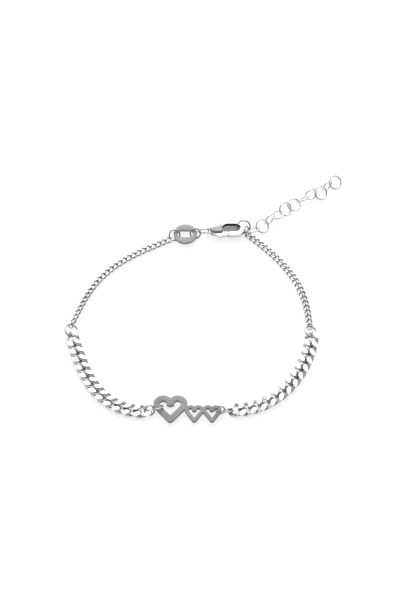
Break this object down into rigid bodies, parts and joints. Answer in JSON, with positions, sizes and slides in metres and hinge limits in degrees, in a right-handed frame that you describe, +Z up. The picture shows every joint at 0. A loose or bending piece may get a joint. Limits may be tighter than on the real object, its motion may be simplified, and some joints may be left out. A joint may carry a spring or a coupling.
{
  "type": "chain bracelet",
  "caption": "Curb chain bracelet with a pierced heart plate, a round tag, a spring clasp and an extension chain.",
  "frame": {"origin": "centre of the laid-out bracelet's outline, on the surface that it lies on", "axes": "+Z up from the surface, +Y from the front plate to the clasp, +X to the right seen from the front"},
  "size_m": [0.0685, 0.0736, 0.0039],
  "materials": {
    "polished_silver": "polished rhodium-plated silver",
    "satin_silver": "finely satined silver"
  },
  "bodies": {
    "bracelet": {"centre_plate": "satin_silver", "wide_left_01": "polished_silver", "wide_left_02": "polished_silver", "wide_left_03": "polished_silver", "wide_left_04": "polished_silver", "wide_left_05": "polished_silver", "wide_left_06": "polished_silver", "wide_left_07": "polished_silver", "wide_left_08": "polished_silver", "wide_left_09": "polished_silver", "wide_left_10": "polished_silver", "wide_left_11": "polished_silver", "wide_left_12": "polished_silver", "wide_left_13": "polished_silver", "wide_right_01": "polished_silver", "wide_right_02": "polished_silver", "wide_right_03": "polished_silver", "wide_right_04": "polished_silver", "wide_right_05": "polished_silver", "wide_right_06": "polished_silver", "wide_right_07": "polished_silver", "wide_right_08": "polished_silver", "wide_right_09": "polished_silver", "wide_right_10": "polished_silver", "wide_right_11": "polished_silver", "wide_right_12": "polished_silver", "wide_right_13": "polished_silver", "fine_left": "polished_silver", "fine_right": "polished_silver", "plate_ring_left_a": "polished_silver", "plate_ring_left_b": "polished_silver", "plate_ring_right_a": "polished_silver", "plate_ring_right_b": "polished_silver", "joint_ring_left": "polished_silver", "joint_ring_right": "polished_silver", "tag_ring_left": "polished_silver", "tag_ring_right": "polished_silver", "clasp_ring": "polished_silver", "end_ring": "polished_silver", "chain_ring": "polished_silver", "tag": "satin_silver", "clasp_body": "polished_silver", "ext_ring_01": "polished_silver", "ext_ring_02": "polished_silver", "ext_ring_03": "polished_silver", "ext_ring_04": "polished_silver", "ext_ring_05": "polished_silver", "ext_ring_06": "polished_silver", "ext_ring_07": "polished_silver", "ext_ring_08": "polished_silver", "ext_ring_09": "polished_silver", "ext_ring_10": "polished_silver", "ext_ring_11": "polished_silver"},
    "lever": {"clasp_lever": "polished_silver"}
  },
  "joints": [
    {"name": "lever_pivot", "type": "hinge", "parent": "bracelet", "child": "lever", "pos_m": [0.00185, 0.01943, 0.00115], "axis": [0, 0, 1], "range_deg": [0, 20], "stiffness_Nm_per_rad": 0.002, "springref_deg": -17.19}
  ]
}
